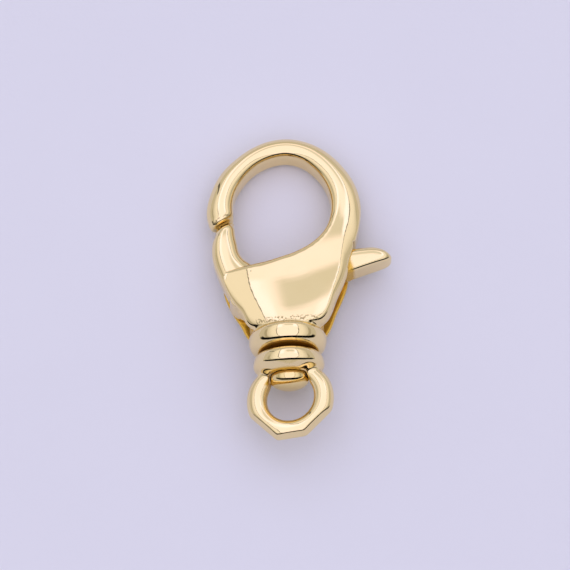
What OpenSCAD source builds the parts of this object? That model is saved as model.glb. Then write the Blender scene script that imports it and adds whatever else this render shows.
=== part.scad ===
/* [Hook] */
// Radius of the hook's hole, taken across its middle
hole_r = 5.0; // [4.5:0.1:5.6]
// Width of the hook arm at the top, seen from the front
arm_w = 2.2; // [1.8:0.1:2.6]
// Thickness of the hook arm, front to back
arm_t = 3.3; // [3.1:0.1:3.6]
// Rounding of the arm's edge toward the hole
hole_edge = 0.35; // [0.2:0.05:0.5]
// Rounding of the edge of the hook tip's end face
tip_edge = 0.22; // [0.15:0.01:0.3]

/* [Housing] */
// Distance from the middle of the hook's hole down to the upper collar
hole_to_collar = 14.6; // [14:0.1:15.5]
// Thickness of the housing over its crown, beside the collar
housing_t = 6.7; // [6.2:0.1:7.2]
// Width of the slot between the two plates
slot_t = 3.05; // [2.6:0.05:3.2]
// Thickness of each plate along its outer rim
plate_rim = 0.33; // [0.25:0.01:0.45]
// Height of the slot's floor above the upper collar
slot_floor = 0.3; // [0.2:0.05:0.6]

/* [Collars] */
// Diameter of the upper collar, which is part of the housing
collar_d = 7.86; // [7.4:0.02:8.4]
// Height of the upper collar
collar_h = 2.0; // [1.8:0.05:2.4]
// Bulge of the upper collar between its rims
collar_bulge = 0.65; // [0.4:0.05:0.75]
// Diameter of the lower collar, which turns with the ring
turn_collar_d = 7.2; // [6.8:0.02:7.6]
// Height of the lower collar
turn_collar_h = 2.35; // [2.1:0.05:2.7]
// Bulge of the lower collar between its rims
turn_collar_bulge = 0.4; // [0.25:0.05:0.55]
// Share of either collar's height, from the joint, at which it is widest
collar_peak = 0.65; // [0.5:0.01:0.7]
// Gap between the two collars, on their axis
collar_gap = 0.27; // [0.24:0.01:0.4]

/* [Ring] */
// Diameter of the ring's eye
eye_d = 4.9; // [4.4:0.1:5.2]
// Thickness of the ring's wire
wire_d = 2.08; // [1.8:0.02:2.4]
// Distance from the middle of the eye up to the lower collar
eye_to_collar = 2.2; // [2.1:0.05:2.5]
// Turn of the ring about the clasp's long axis, as it lies
ring_turn = 12; // [0:1:20]

/* [Rivet and pin] */
// Diameter of the rivet's post
post_d = 2.2; // [1.8:0.05:2.6]
// Diameter of the rivet's head
head_d = 3.9; // [3.5:0.05:4.1]
// Thickness of the rivet's head at its edge
head_t = 0.45; // [0.3:0.05:0.6]
// Height of the dome on the rivet's head
head_dome = 0.95; // [0.6:0.01:1.1]
// Depth of the hollow under the lower collar that takes the rivet's head
head_sink = 0.3; // [0.2:0.05:0.5]
// Play between the rivet's head and the lower collar, along the axis
head_gap = 0.12; // [0.08:0.01:0.2]
// Clearance round the rivet's head where the ring's legs are hollowed for it
head_room = 0.15; // [0.1:0.01:0.2]
// Running clearance between the post and the lower collar, all round
post_gap = 0.05; // [0.03:0.01:0.08]
// Diameter of the pin that the lever turns on
pin_d = 1.6; // [1.3:0.05:1.9]
// Running clearance between the pin and the lever, all round
pin_gap = 0.04; // [0.03:0.01:0.08]
// Depth of the pin's seat in each plate
pin_seat = 0.6; // [0.4:0.05:0.7]

/* [Lever] */
// Width of the gate where it enters the housing
gate_w = 3.6; // [3.3:0.1:3.8]
// Width of the lever's arm inside the housing
lever_arm_w = 2.7; // [2.3:0.05:2.8]
// Angle of the lever's arm above square to the clasp's axis
lever_angle = 18.6; // [16:0.2:19]
// Length of the thumb tab beyond the housing's flank
tab_len = 4.05; // [3.2:0.05:4.6]
// Radius of the lever's round boss about its pin
boss_r = 1.8; // [1.5:0.05:1.9]
// Clearance of the lever from each plate
side_gap = 0.07; // [0.05:0.01:0.12]
// Gap between the gate's tip and the hook's tip, closed
tip_gap = 0.17; // [0.1:0.01:0.25]
// Clearance of the lever's arm under the housing's solid root
root_gap = 0.15; // [0.1:0.01:0.25]

/* [Hidden] */
$fn = 96;
// Directions are in degrees, counterclockwise from the tab's side, about the middle of the hook's hole
hole_y = collar_gap / 2 + collar_h + hole_to_collar;
collar_top = collar_gap / 2 + collar_h;
plate_len = hole_to_collar - 1.454 * hole_r;
lever_t = slot_t - 2 * side_gap;
rim_half = slot_t / 2 + plate_rim;
eye_r = eye_d / 2;
gold = [0.93, 0.79, 0.45];
deep_gold = [0.83, 0.64, 0.25];
joint_y = eye_to_collar + turn_collar_h + collar_gap / 2;

// Hook and housing, from the hook's tip over the top and down into the housing's far corner.
// Columns: direction of the inner point, its distance in hole radii, direction of the outer point,
// width in arm widths, width in plate lengths, share of the housing's rim against the arm's,
// width of the outer shoulder in arm widths
HOOK = [
    [ 194.6, 1.097,  198.0, 0.98, 0.000, 0.0, 0.55],
    [ 183.0, 1.016,  187.0, 1.20, 0.000, 0.0, 0.55],
    [ 166.0, 0.956,  168.0, 1.13, 0.000, 0.0, 0.55],
    [ 149.0, 0.921,  149.0, 1.09, 0.000, 0.0, 0.55],
    [ 132.0, 0.922,  132.0, 1.01, 0.000, 0.0, 0.55],
    [ 115.0, 0.947,  115.0, 0.99, 0.000, 0.0, 0.55],
    [  98.0, 0.980,   98.0, 1.01, 0.000, 0.0, 0.55],
    [  81.0, 1.016,   81.0, 1.01, 0.000, 0.0, 0.55],
    [  64.0, 1.014,   64.0, 1.05, 0.000, 0.0, 0.55],
    [  47.0, 0.985,   47.0, 1.14, 0.000, 0.0, 0.55],
    [  30.0, 0.975,   30.0, 1.21, 0.000, 0.0, 0.55],
    [  13.0, 0.983,   12.0, 1.32, 0.000, 0.1, 0.59],
    [  -4.0, 1.008,   -5.0, 1.39, 0.000, 0.3, 0.66],
    [ -20.0, 1.044,  -20.0, 1.42, 0.003, 0.6, 0.76],
    [ -34.0, 1.092,  -34.0, 1.40, 0.042, 0.9, 0.86],
    [ -46.0, 1.133,  -46.0, 1.20, 0.190, 1.0, 0.90],
    [ -57.0, 1.168,  -56.0, 0.80, 0.480, 1.0, 0.90],
    [ -66.0, 1.200,  -66.0, 0.25, 0.840, 1.0, 0.90],
    [ -74.0, 1.232,  -74.5, 0.00, 1.165, 1.0, 0.80],
    [ -82.0, 1.276,  -82.0, 0.00, 1.165, 1.0, 0.34],
    [ -90.0, 1.324,  -90.0, 0.00, 1.125, 1.0, 0.24],
    [ -98.0, 1.398,  -98.0, 0.00, 1.095, 1.0, 0.34],
    [-104.5, 1.478, -105.0, 0.00, 1.010, 1.0, 0.80],
    [-110.0, 1.556, -110.0, 0.00, 0.790, 1.0, 0.90],
    [-115.5, 1.656, -115.5, 0.00, 0.575, 1.0, 0.90],
    [-120.5, 1.772, -120.5, 0.00, 0.375, 1.0, 0.90],
    [-124.5, 1.900, -124.5, 0.00, 0.180, 1.0, 0.90],
    [-126.3, 2.020, -126.3, 0.00, 0.060, 1.0, 0.90]
];
// Side profile of the housing.
// Columns: distance below the middle of the hole in shares of hole_to_collar, share of the crown
CROWN = [[-1, 0], [0, 0], [0.24, 0.04], [0.39, 0.17], [0.53, 0.41], [0.675, 0.68], [0.82, 0.9], [0.93, 0.99], [1.1, 1]];
// Gate, from behind its tip down past the pin to its heel.
// Columns: direction of the inner point, its distance in hole radii, direction of the outer point,
// width in gate widths, share of the lever's thickness, share of it left at the outer rim
GATE = [
    [200.5, 1.186, 204.2, 0.44, 0.72, 0.35],
    [204.0, 1.178, 207.0, 0.57, 0.88, 0.35],
    [210.0, 1.186, 211.0, 0.70, 0.96, 0.35],
    [217.0, 1.260, 217.0, 0.78, 0.99, 0.38],
    [224.0, 1.338, 224.0, 0.88, 1.00, 0.50],
    [231.0, 1.440, 231.0, 0.89, 1.00, 0.72],
    [237.0, 1.500, 237.0, 0.99, 1.00, 0.90],
    [243.0, 1.520, 243.0, 1.25, 1.00, 0.95],
    [248.0, 1.550, 248.0, 1.49, 1.00, 0.95],
    [252.0, 1.620, 252.0, 1.57, 1.00, 0.95]
];
// The gate's end, parallel to the hook tip's end face.
// Columns: from and to, in shares of the end face's width, share of the lever's thickness,
// distance from the end face in tip gaps
GATE_TIP = [[0.30, 0.66, 0.36, 1], [0.24, 0.84, 0.58, 1.8]];
// Middle of the lever's pin, and where the slot's roof meets the hook's hole.
// Columns: direction, distance in hole radii, distance in plate lengths
PIN = [249.6, 1.55, 0.47];
MOUTH = [-96.5, 1.2, 0];
// Row of HOOK at which the tab leaves the flank
FLANK = 15;
// Arm of the lever inside the slot, round its outline.
// Columns: distance along the arm in shares of its reach, distance across in arm widths
ARM = [[0, -0.45], [0.96, -0.48], [0.96, 0.46], [0.22, 0.48], [0.12, 0.85], [0, 0.95]];
// Share of the arm's reach at which the slot's roof comes down to the arm
ROOF_AT = 0.27;
// Thumb tab, along the lever's arm from inside the slot to its end.
// Columns: distance from the flank in tab lengths, lower and upper edge in arm half widths,
// share of the lever's thickness
TAB = [
    [-0.25, -1.00, 0.90, 1.00],
    [0.00, -1.00, 0.87, 1.00],
    [0.21, -1.00, 0.77, 1.00],
    [0.45, -1.01, 0.60, 1.00],
    [0.65, -1.02, 0.42, 0.99],
    [0.81, -1.03, 0.13, 0.96],
    [0.91, -1.03, -0.25, 0.88],
    [0.97, -0.98, -0.58, 0.74],
    [1.00, -0.90, -0.72, 0.55]
];
// Ring under the lower collar.
// Columns: direction about the middle of the eye, width in wire thicknesses
RING = [
    [124, 0.80], [140, 0.88], [160, 0.98], [180, 1.02], [200, 1.05], [220, 1.10], [240, 1.12],
    [255, 1.12], [270, 1.12], [285, 1.12], [300, 1.10], [320, 1.05], [340, 1.02], [360, 1.00],
    [380, 0.97], [400, 0.88], [416, 0.80]
];
// Flats ground on the outside of the ring.
// Columns: direction of the flat, its distance from the middle of the eye in eye radii
FLATS = [[223, 1.66], [271, 1.72], [319.5, 1.52]];
// Share of the wire by which its inner side overlaps the eye, so that the eye keeps a round band
EYE_BAND = 0.05;
// Share of the collars' gap that the hanging swivel takes up at the back
DROOP_SHARE = 0.75;
// Share of the upper collar's height that the rivet's post is set into
POST_SEAT = 0.9;
STEPS = 2;
FRONT_FINE = 4;
// Lying on its collar and its hook, the clasp slopes down to the hook, and the swivel hangs back a little
rest_slope = atan((collar_d - arm_t) / 2
    / (hole_y + hole_r + (1 - HOOK[7][6]) * arm_w - collar_gap / 2 - collar_peak * collar_h));
droop = atan(DROOP_SHARE * collar_gap / (collar_d / 2 - collar_bulge));

// Value of column c between rows k and k+1, on a smooth curve through the rows
function smooth(t, k, c, u) =
    let (n = len(t) - 1, p1 = t[k][c], p2 = t[min(k + 1, n)][c],
         p0 = k == 0 ? 2 * p1 - p2 : t[k - 1][c], p3 = k + 2 > n ? 2 * p2 - p1 : t[k + 2][c])
    p1 + u / 2 * (p2 - p0 + u * (2 * p0 - 5 * p1 + 4 * p2 - p3 + u * (3 * (p1 - p2) + p3 - p0)));
// Every row of a table, with STEPS - 1 smooth rows put in after each
function refined(t, steps = STEPS) = [
    for (k = [0 : len(t) - 2]) for (j = [0 : steps - 1]) [for (c = [0 : len(t[0]) - 1]) smooth(t, k, c, j / steps)],
    t[len(t) - 1]
];
function reversed(t) = [for (k = [len(t) - 1 : -1 : 0]) t[k]];
function row_of(t, x, k = 0) = k >= len(t) - 2 || x < t[k + 1][0] ? k : row_of(t, x, k + 1);
function look_up(t, x) =
    let (k = row_of(t, x)) smooth(t, k, 1, (x - t[k][0]) / (t[k + 1][0] - t[k][0]));
function polar(a, r) = [r * cos(a), r * sin(a)];
function mix(a, b, u) = a + (b - a) * u;
// Quarter round from 0 at an edge to 1 at the distance w from it
function shoulder(d, w) = d >= w ? 1 : sqrt(max(0, 1 - pow(1 - d / w, 2)));

// Places across a section of length l: close together on both shoulders, wi and wo wide
function across(l, wi, wo) = [
    for (j = [0 : FRONT_FINE - 1]) wi * (1 - cos(90 * j / FRONT_FINE)),
    for (j = [0 : FRONT_FINE - 1]) mix(wi, l - wo, j / FRONT_FINE),
    for (j = [0 : FRONT_FINE]) l - wo * (1 - sin(90 * j / FRONT_FINE))
];
// Closed section between two points, from the inner rim over the front and back round.
// hi and ho: half thickness at either end, ri and ro: half height of either rim, wi and wo: shoulders
function section(p, q, hi, ho, ri, ro, wi, wo) =
    let (l = norm(q - p), si = min(wi, 0.4 * l), so = min(wo, 0.5 * l),
         front = [for (s = across(l, si, so))
             let (u = s / l, rim = mix(ri, ro, u), top = mix(hi, ho, u))
             [each mix(p, q, u), rim + (top - rim) * shoulder(s, si) * shoulder(l - s, so)]])
    [each front, for (f = reversed(front)) [f[0], f[1], -f[2]]];

// Solid through closed sections of equal length
module skin(rings) {
    n = len(rings);
    m = len(rings[0]);
    side = [for (i = [0 : n - 2]) for (j = [0 : m - 1]) let (a = i * m + j, b = i * m + (j + 1) % m)
        each [[a, b, a + m], [b, b + m, a + m]]];
    polyhedron([for (r = rings) each r],
        [each side, [for (j = [m - 1 : -1 : 0]) j], [for (j = [0 : m - 1]) (n - 1) * m + j]], convexity = 10);
}

// Half thickness of the hook and housing at the height y
function half_t(y) = mix(arm_t, housing_t, look_up(CROWN, (hole_y - y) / hole_to_collar)) / 2;
function hook_inner(r) = [0, hole_y] + polar(r[0], r[1] * hole_r);
function hook_outer(r) = [0, hole_y] + polar(r[2], r[1] * hole_r + r[3] * arm_w + r[4] * plate_len);
function hook_section(r, inset) =
    let (p = hook_inner(r), q = hook_outer(r), d = (q - p) / norm(q - p) * inset,
         hi = half_t(p[1]) - inset, ho = half_t(q[1]) - inset,
         ri = hi - hole_edge, ro = mix(0.18 * arm_t, rim_half, r[5]) - inset / 2)
    section(p + d, q - d, hi, ho, ri, ro, 1.2 * hole_edge, r[6] * arm_w);
module hook_skin() {
    rows = refined(HOOK);
    tip = rows[0];
    // The end face lies a little past the tip's first full section, with a rounded edge
    back = atan(tip_edge / tip[1] / hole_r);
    full = [for (c = [0 : len(tip) - 1]) c == 0 || c == 2 ? tip[c] - back : tip[c]];
    skin([for (u = [0, 0.3, 1]) hook_section(mix(tip, full, u), tip_edge * (1 - shoulder(u, 1))),
        for (k = [1 : len(rows) - 1]) hook_section(rows[k], 0)]);
}

function placed(r) = [0, hole_y] + polar(r[0], r[1] * hole_r + r[2] * plate_len);
pin_at = placed(PIN);
arm_dir = polar(lever_angle, 1);
arm_up = polar(lever_angle + 90, 1);
flank_reach = (hook_outer(HOOK[FLANK]) - pin_at) * arm_dir;
function on_arm(along, up) = pin_at + along * arm_dir + up * arm_up;

module slot_shape() {
    wide = housing_t + hole_r;
    top = lever_arm_w / 2 + root_gap;
    mouth = placed(MOUTH);
    polygon([[-wide, collar_top + slot_floor], [wide, collar_top + slot_floor],
        on_arm(flank_reach + tab_len, top + root_gap), on_arm(ROOF_AT * flank_reach, top), mouth, [-wide, mouth[1]]]);
}
module barrel(d, h, bulge, peak) {
    r = (pow(collar_peak * h, 2) + pow(bulge, 2)) / 2 / bulge;
    rotate_extrude() intersection() {
        square([d / 2, h]);
        translate([d / 2 - r, peak * h]) circle(r);
    }
}
module along_axis(y = 0) translate([0, y, 0]) rotate([-90, 0, 0]) children();
module pin_hole(d, h) translate([pin_at[0], pin_at[1], -h / 2]) cylinder(d = d, h = h);

// The clasp as it lies: the swivel about the middle of its eye, the body past the joint
module swivel_place() rotate([droop - rest_slope, 0, 0]) rotate([0, -ring_turn, 0]) children();
module rivet_place() rotate([droop - rest_slope, 0, 0]) translate([0, joint_y, 0]) children();
module body_place() rivet_place() rotate([-droop, 0, 0]) children();

module hook_body() color(gold) body_place() difference() {
    union() {
        hook_skin();
        along_axis(collar_gap / 2) barrel(collar_d, collar_h, collar_bulge, collar_peak);
        along_axis(collar_gap / 2) cylinder(d = collar_d - 2 * collar_bulge, h = collar_h + slot_floor);
    }
    translate([0, 0, -slot_t / 2]) linear_extrude(slot_t) slot_shape();
    pin_hole(pin_d, slot_t + 2 * pin_seat);
    rotate([droop, 0, 0]) along_axis(-collar_gap) cylinder(d = post_d, h = collar_gap + collar_h);
}

function gate_section(p, q, h, rim) = section(p, q, h, h, h - hole_edge, rim * h, 1.2 * hole_edge, 0.4 * gate_w);
function gate_row(r) = gate_section([0, hole_y] + polar(r[0], r[1] * hole_r),
    [0, hole_y] + polar(r[2], r[1] * hole_r + r[3] * gate_w), r[4] * lever_t / 2, r[5]);
function gate_end(r) =
    let (a = hook_inner(HOOK[0]), d = hook_outer(HOOK[0]) - a, off = [-d[1], d[0]] / norm(d) * r[3] * tip_gap)
    gate_section(a + r[0] * d + off, a + r[1] * d + off, r[2] * lever_t / 2, GATE[0][5]);
function tab_section(r) =
    let (a = flank_reach + r[0] * tab_len, h = r[3] * lever_t / 2, w = lever_arm_w / 2)
    section(on_arm(a, r[1] * w), on_arm(a, r[2] * w), h, h, h - hole_edge, 0.45 * h, hole_edge, 0.3 * lever_arm_w);
module lever() color(gold) body_place() difference() {
    union() {
        skin([for (r = reversed(refined(GATE))) gate_row(r), for (r = reversed(GATE_TIP)) gate_end(r)]);
        skin([for (r = refined(TAB)) tab_section(r)]);
        translate([0, 0, -lever_t / 2 + side_gap]) linear_extrude(lever_t - 2 * side_gap) {
            translate(pin_at) circle(boss_r);
            polygon([for (a = ARM) on_arm(a[0] * flank_reach, a[1] * lever_arm_w)]);
        }
    }
    pin_hole(pin_d + 2 * pin_gap, 2 * lever_t);
}

module pivot_pin() color(deep_gold) body_place() pin_hole(pin_d, slot_t + 2 * pin_seat);

head_back = eye_to_collar + head_sink - head_gap;
module swivel_rivet() color(deep_gold) rotate([droop - rest_slope, 0, 0]) {
    dome_r = (pow(head_d / 2, 2) + pow(head_dome, 2)) / 2 / head_dome;
    along_axis(head_back - head_t) {
        cylinder(d = post_d, h = joint_y + collar_gap / 2 + POST_SEAT * collar_h - head_back + head_t);
        cylinder(d = head_d, h = head_t);
    }
    along_axis(head_back - head_t - head_dome) rotate_extrude() intersection() {
        square([head_d / 2, head_dome]);
        translate([0, dome_r]) circle(dome_r);
    }
}

function ring_section(r) =
    let (inner = eye_r - EYE_BAND * wire_d, h = wire_d / 2)
    section(polar(r[0], inner), polar(r[0], inner + r[1] * wire_d), h, h, 0.1 * h, 0.1 * h, h, h);
module swivel_ring() color(gold) swivel_place() difference() {
    union() {
        skin([for (r = reversed(refined(RING))) ring_section(r)]);
        along_axis(eye_to_collar) barrel(turn_collar_d, turn_collar_h, turn_collar_bulge, 1 - collar_peak);
    }
    translate([0, 0, -wire_d]) cylinder(r = eye_r, h = 2 * wire_d);
    along_axis(0) cylinder(d = head_d + 2 * head_room, h = eye_to_collar + head_sink);
    along_axis(0) cylinder(d = post_d + 2 * post_gap, h = eye_to_collar + 2 * turn_collar_h);
    for (f = FLATS) rotate(f[0]) translate([f[1] * eye_r, -2 * eye_d, -wire_d]) cube([wire_d, 4 * eye_d, 2 * wire_d]);
}

hook_body();
lever();
pivot_pin();
swivel_rivet();
swivel_ring();
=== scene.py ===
"""Swivel lobster clasp in polished gold plate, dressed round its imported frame."""
import math

import bmesh
import bpy
import numpy as np
from bpy.props import FloatProperty, FloatVectorProperty, IntProperty, PointerProperty
from bpy.types import Operator, Panel, PropertyGroup
from mathutils import Matrix, Vector


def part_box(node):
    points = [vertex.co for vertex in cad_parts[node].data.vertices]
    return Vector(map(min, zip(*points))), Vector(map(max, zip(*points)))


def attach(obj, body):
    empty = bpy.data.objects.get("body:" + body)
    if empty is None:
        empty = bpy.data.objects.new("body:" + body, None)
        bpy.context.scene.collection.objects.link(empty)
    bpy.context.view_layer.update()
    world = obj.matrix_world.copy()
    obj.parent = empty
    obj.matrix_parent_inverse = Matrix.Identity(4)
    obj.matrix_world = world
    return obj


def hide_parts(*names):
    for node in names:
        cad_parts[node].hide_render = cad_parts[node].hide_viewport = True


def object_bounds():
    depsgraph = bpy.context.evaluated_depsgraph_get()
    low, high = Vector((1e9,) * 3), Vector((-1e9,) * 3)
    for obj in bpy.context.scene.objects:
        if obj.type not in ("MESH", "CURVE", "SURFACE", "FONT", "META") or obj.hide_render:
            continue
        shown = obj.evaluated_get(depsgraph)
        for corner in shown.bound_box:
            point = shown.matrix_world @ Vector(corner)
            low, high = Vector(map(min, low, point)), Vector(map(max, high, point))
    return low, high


bl_info = {
    "name": "Swivel Lobster Clasp",
    "version": (1, 0, 0),
    "blender": (4, 5, 0),
    "location": "3D View > Sidebar > Clasp",
    "description": "Builds a swivel lobster clasp's polished pieces, their gold plate and the studio",
    "category": "Add Mesh",
}

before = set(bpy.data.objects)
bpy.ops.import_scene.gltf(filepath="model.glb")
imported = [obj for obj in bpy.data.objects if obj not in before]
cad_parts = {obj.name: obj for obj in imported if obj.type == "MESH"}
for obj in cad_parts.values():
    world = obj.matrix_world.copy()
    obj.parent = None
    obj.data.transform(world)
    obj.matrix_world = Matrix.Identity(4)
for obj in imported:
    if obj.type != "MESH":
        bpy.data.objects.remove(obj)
PACKED_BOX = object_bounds()

# Shapes are made in millimetres and placed in metres
MM = 0.001
WELD = 1e-5

# Hook. The shoulders of its inner and outer side are shares of its width, and ARM_ROUND is the share
# of each that is a round edge. TOP_ROW is the row of HOOK that rests on the table
HOLE_R = 5.0
ARM_W = 2.2
ARM_T = 3.3
ARM_SHOULDERS = (0.42, 0.58)
ARM_ROUND = (0.45, 0.3)
ARM_RIM = 0.12
HOLE_EDGE = 0.35
HOLE_SHOULDER = 1.5
TIP_SPREAD = 0.4
TIP_STEPS = (0, 0.1, 0.3, 0.6, 1)
TOP_ROW = 7
# Housing. PLATE_FROM is in hole radii, and BOW_IN says how soon the crown bows across
HOLE_TO_COLLAR = 14.6
PLATE_FROM = 1.454
HOUSING_T = 6.7
SLOT_T = 3.05
SLOT_FLOOR = 0.3
BOW_MIDDLE = 0.8
BOW_TOP = 8.0
BOW_IN = 2.2
FLARE = 0.42
RIGHT_REACH = 0.91
LEAD = 0.45
LEAD_FROM = 3.0
# Collars. The cut of a rim is its depth, its height and the straight share of it
COLLAR_D = 7.86
COLLAR_H = 2.0
COLLAR_BULGE = 0.65
COLLAR_PEAK = 0.65
COLLAR_CUTS = ((0.45, 0.55), (0.3, 0.5))
PLUG_INSET = 0.7
PLUG_FROM = 0.1
TURN_COLLAR_D = 7.2
TURN_COLLAR_H = 2.35
TURN_COLLAR_BULGE = 0.4
TURN_COLLAR_PEAK = 0.5
TURN_COLLAR_CUTS = ((1.25, 0.95, 0.95), (0.3, 0.7))
COLLAR_GAP = 0.27
DROOP_SHARE = 0.75
# Ring
EYE_D = 4.9
EYE_BAND = 0.05
WIRE_D = 2.08
RING_RIM = 0.1
RING_SOFTER = 16
EYE_TO_COLLAR = 2.2
RING_TURN = 12.0
# Rivet and pin
POST_D = 2.2
POST_REACH = 0.9
HEAD_D = 3.9
HEAD_T = 0.45
HEAD_DOME = 0.95
HEAD_EDGE = 0.1
HEAD_SINK = 0.3
HEAD_GAP = 0.12
HEAD_ROOM = 0.15
POST_GAP = 0.05
PIN_D = 1.6
PIN_GAP = 0.04
PIN_SEAT = 0.6
# Lever. The tab's lower side has its edge and shoulder in millimetres, its upper side as shares
GATE_W = 3.6
GATE_SHOULDER = 0.5
GATE_EDGE = 0.5
LEVER_ARM_W = 2.7
LEVER_ANGLE = 18.6
ROOF_AT = 0.27
TAB_LEN = 4.05
TAB_LOW_EDGE = 0.55
TAB_LOW_SHOULDER = 0.6
TAB_HIGH_RIM = 0.45
TAB_HIGH_SHOULDER = 0.4
TAB_ROUND = (0.8, 0.7)
BOSS_R = 1.8
SIDE_GAP = 0.07
TIP_GAP = 0.17
ROOT_GAP = 0.15
# Mesh: the lever's and ring's spacing against the hook's, and the strength of a round of smoothing
FINER = 0.7
SOFTEN = 0.5
SWELL = -0.52

COLLAR_TOP = COLLAR_GAP / 2 + COLLAR_H
HOLE_Y = COLLAR_TOP + HOLE_TO_COLLAR
MIDDLE = np.array((0, HOLE_Y))
PLATE_LEN = HOLE_TO_COLLAR - PLATE_FROM * HOLE_R
LEVER_T = SLOT_T - 2 * SIDE_GAP
EYE_R = EYE_D / 2
HEAD_BACK = EYE_TO_COLLAR + HEAD_SINK - HEAD_GAP
JOINT_Y = EYE_TO_COLLAR + TURN_COLLAR_H + COLLAR_GAP / 2

# Hook and housing, from the hook's tip over the top and down into the housing's far corner.
# Columns: direction of the inner point, its distance in hole radii, direction of the outer point,
# width in arm widths, width in plate lengths, share of the housing's rim, outer shoulder in arm widths
HOOK = np.array([
    (198.0, 1.020, 200.2, 1.18, 0.000, 0.0, 0.55), (183.0, 0.990, 187.0, 1.26, 0.000, 0.0, 0.62),
    (166.0, 0.952, 168.0, 1.14, 0.000, 0.0, 0.62), (149.0, 0.921, 149.0, 1.09, 0.000, 0.0, 0.62),
    (132.0, 0.922, 132.0, 1.01, 0.000, 0.0, 0.60), (115.0, 0.947, 115.0, 0.99, 0.000, 0.0, 0.58),
    (98.0, 0.980, 98.0, 1.01, 0.000, 0.0, 0.58), (81.0, 1.016, 81.0, 1.01, 0.000, 0.0, 0.58),
    (64.0, 1.014, 64.0, 1.05, 0.000, 0.0, 0.62), (47.0, 0.985, 47.0, 1.14, 0.000, 0.0, 0.68),
    (30.0, 0.975, 30.0, 1.21, 0.000, 0.0, 0.74), (13.0, 0.983, 12.0, 1.32, 0.000, 0.05, 0.84),
    (-4.0, 1.008, -5.0, 1.39, 0.000, 0.18, 0.88), (-20.0, 1.044, -20.0, 1.42, 0.003, 0.38, 0.88),
    (-34.0, 1.092, -34.0, 1.40, 0.042, 0.62, 0.84), (-46.0, 1.133, -46.0, 1.20, 0.190, 0.86, 0.74),
    (-57.0, 1.168, -56.0, 0.80, 0.480, 0.97, 0.60), (-66.0, 1.200, -66.0, 0.25, 0.840, 1.0, 0.46),
    (-74.0, 1.232, -74.5, 0.00, 1.165, 1.0, 0.34), (-82.0, 1.276, -82.0, 0.00, 1.165, 1.0, 0.24),
    (-90.0, 1.324, -90.0, 0.00, 1.125, 1.0, 0.20), (-98.0, 1.398, -98.0, 0.00, 1.095, 0.96, 0.22),
    (-104.5, 1.478, -105.0, 0.00, 1.010, 0.93, 0.24), (-110.0, 1.556, -110.0, 0.00, 0.790, 0.92, 0.25),
    (-115.5, 1.652, -115.5, 0.00, 0.590, 0.92, 0.25), (-120.5, 1.766, -120.5, 0.00, 0.395, 0.92, 0.25),
    (-124.5, 1.888, -124.7, 0.00, 0.205, 0.92, 0.25), (-126.0, 1.940, -126.3, 0.00, 0.095, 0.92, 0.25),
    (-126.4, 1.955, -126.6, 0.00, 0.035, 0.92, 0.25)])
# Share of the housing's thickness, by the distance below the hole's middle
CROWN = np.array([(-1, 0), (-0.1, 0), (0.1, 0.02), (0.24, 0.09), (0.39, 0.27), (0.53, 0.53), (0.675, 0.80),
                  (0.82, 0.93), (0.93, 0.99), (1.1, 1)])
# Cross profile of the housing: distance from its ridge in half widths, drop in millimetres
BOW = np.array([(-0.2, 0.029), (0, 0), (0.2, 0.029), (0.4, 0.114), (0.6, 0.257), (0.7, 0.35), (0.745, 0.402),
                (0.79, 0.469), (0.9, 0.655), (1.0, 0.825), (1.2, 1.16), (1.5, 1.66), (1.9, 2.3)])
# Gate, from behind its tip down past the pin to its heel
GATE = np.array([
    (203.3, 1.118, 205.4, 0.55, 0.84, 0.35), (205.6, 1.118, 208.0, 0.63, 0.93, 0.35),
    (210.0, 1.130, 211.0, 0.752, 0.98, 0.35), (217.0, 1.212, 217.0, 0.842, 1.00, 0.38),
    (224.0, 1.305, 224.0, 0.918, 1.00, 0.50), (231.0, 1.430, 231.0, 0.94, 1.00, 0.72),
    (237.0, 1.495, 237.0, 1.06, 1.00, 0.90), (243.0, 1.520, 243.0, 1.28, 1.00, 0.95),
    (248.0, 1.550, 248.0, 1.47, 1.00, 0.95), (252.0, 1.620, 252.0, 1.45, 1.00, 0.95)])
GATE_TIP = np.array([(0.22, 0.76, 0.14, 1), (0.13, 0.86, 0.42, 1.5), (0.08, 0.90, 0.64, 2.4)])
# Places by direction, distance in hole radii and distance in plate lengths, and the arm's corners
PIN = (249.6, 1.55, 0.47)
MOUTH = (-96.5, 1.2, 0)
FLANK = 15
ARM = [(0, -0.45), (0.96, -0.48), (0.96, 0.46), (0.22, 0.48), (0.12, 0.85), (0, 0.95)]
# Tab: distance from the flank in tab lengths, both sides in half arm widths, thickness
TAB = np.array([
    (-0.25, -1.00, 0.90, 1.00), (0.00, -1.00, 0.87, 1.00), (0.21, -1.00, 0.77, 1.00),
    (0.45, -1.01, 0.60, 0.99), (0.65, -1.02, 0.42, 0.97), (0.81, -1.03, 0.13, 0.92),
    (0.91, -1.01, -0.20, 0.80), (0.97, -0.94, -0.50, 0.62), (1.00, -0.84, -0.68, 0.42)])
# Ring: direction and thickness of its wire, then the flats on it, by direction and distance
RING = np.array([
    (124, 0.80), (140, 0.88), (160, 0.98), (180, 1.02), (200, 1.04), (220, 1.05), (240, 1.07),
    (255, 1.08), (270, 1.08), (285, 1.08), (300, 1.07), (320, 1.03), (340, 1.02), (360, 1.00),
    (380, 0.97), (400, 0.88), (416, 0.80)])
FLATS = [(224, 1.70), (273, 1.73), (311, 1.67)]

REST_SLOPE = math.degrees(math.atan((COLLAR_D - ARM_T) / 2 / (
    HOLE_Y + HOLE_R + (1 - HOOK[TOP_ROW][6]) * ARM_W - COLLAR_GAP / 2 - COLLAR_PEAK * COLLAR_H)))
DROOP = math.degrees(math.atan(DROOP_SHARE * COLLAR_GAP / (COLLAR_D / 2 - COLLAR_BULGE)))


def turn(degrees, axis):
    return Matrix.Rotation(math.radians(degrees), 4, axis)


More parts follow.
